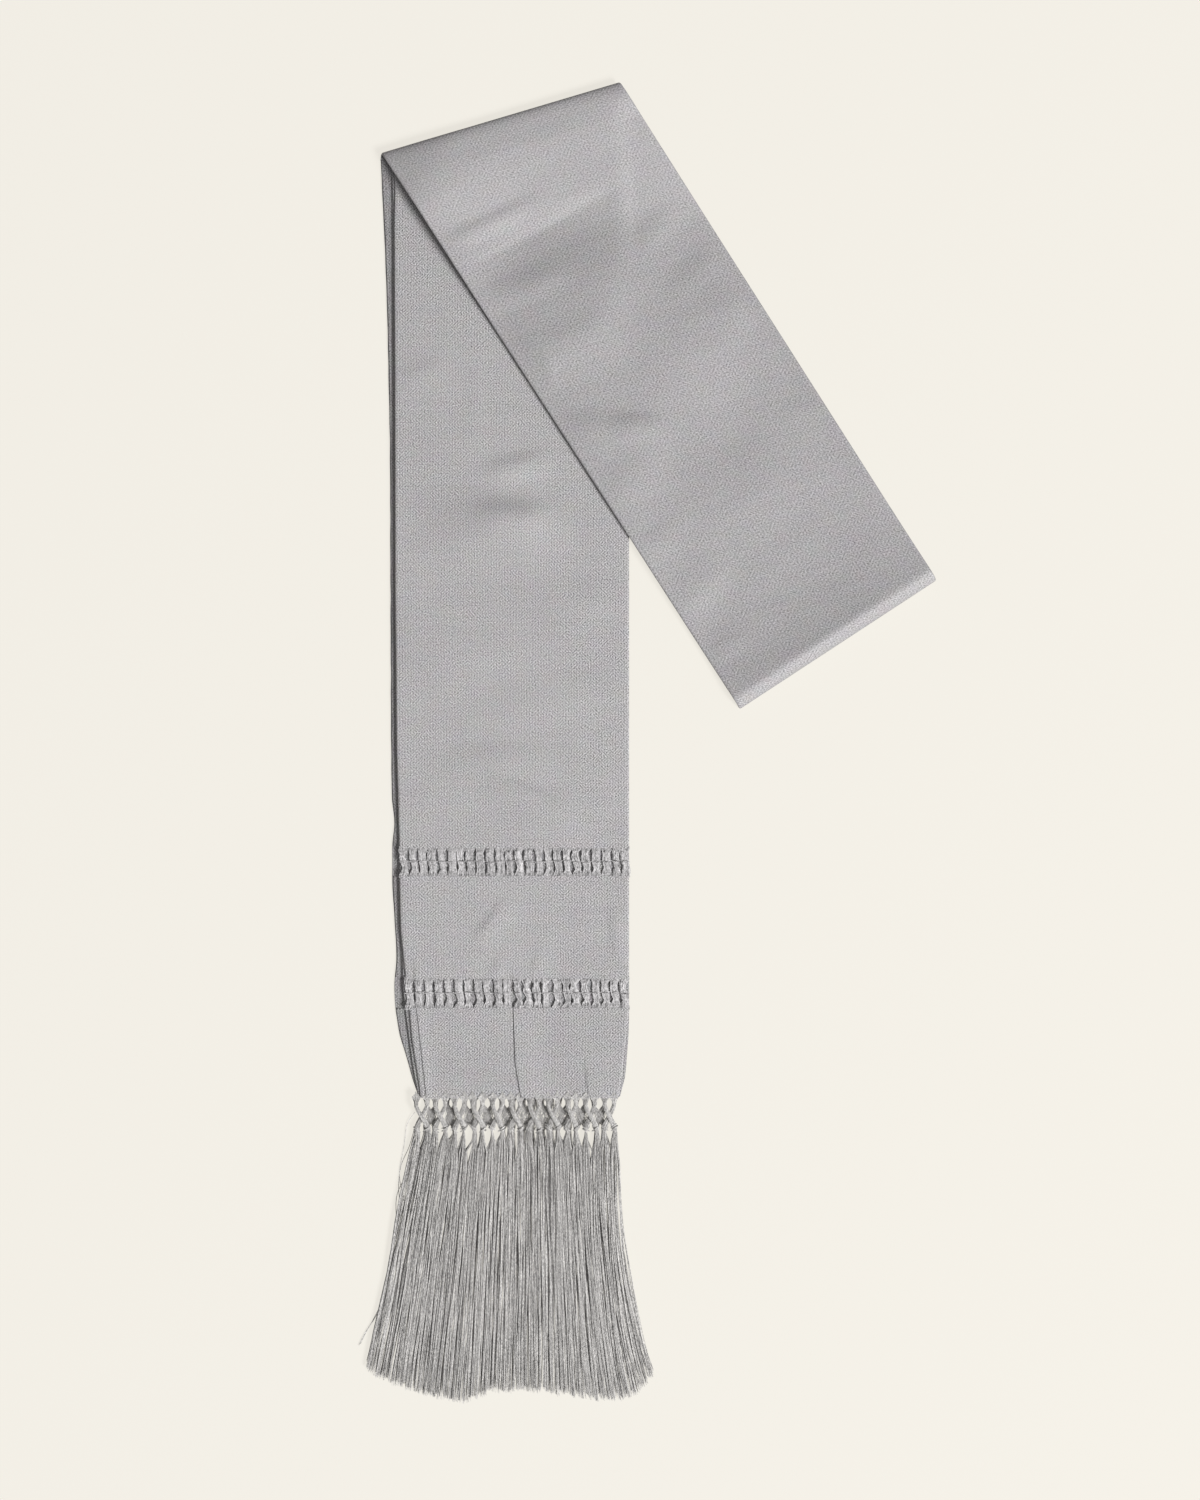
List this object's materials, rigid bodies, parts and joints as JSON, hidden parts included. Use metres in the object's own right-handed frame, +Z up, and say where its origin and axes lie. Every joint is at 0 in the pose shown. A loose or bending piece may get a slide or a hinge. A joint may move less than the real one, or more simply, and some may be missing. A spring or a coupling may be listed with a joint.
{
  "type": "shawl",
  "caption": "Folded silk shawl laid flat, turned over on itself along a slanted fold, with drawn-thread bands and a long knotted fringe.",
  "frame": {"origin": "centre of the footprint of the laid-out shawl, on the surface that it lies on", "axes": "+Y from the fringe towards the slanted fold, +X towards the side that the turned-over band points to, +Z up"},
  "size_m": [0.3764, 0.8596, 0.0133],
  "materials": {
    "silk_lower": "matte",
    "silk_leg": "satin",
    "silk_inside": "matte",
    "silk_band": "satin",
    "fringe_thread": "satin",
    "fringe_thread_under": "satin"
  },
  "bodies": {
    "root": {"lower_strand": "silk_lower", "leg_top": "silk_leg", "band_inner": "silk_inside", "outer_cloth": "silk_band", "fringe_top": "fringe_thread", "fringe_under": "fringe_thread_under"}
  },
  "joints": []
}
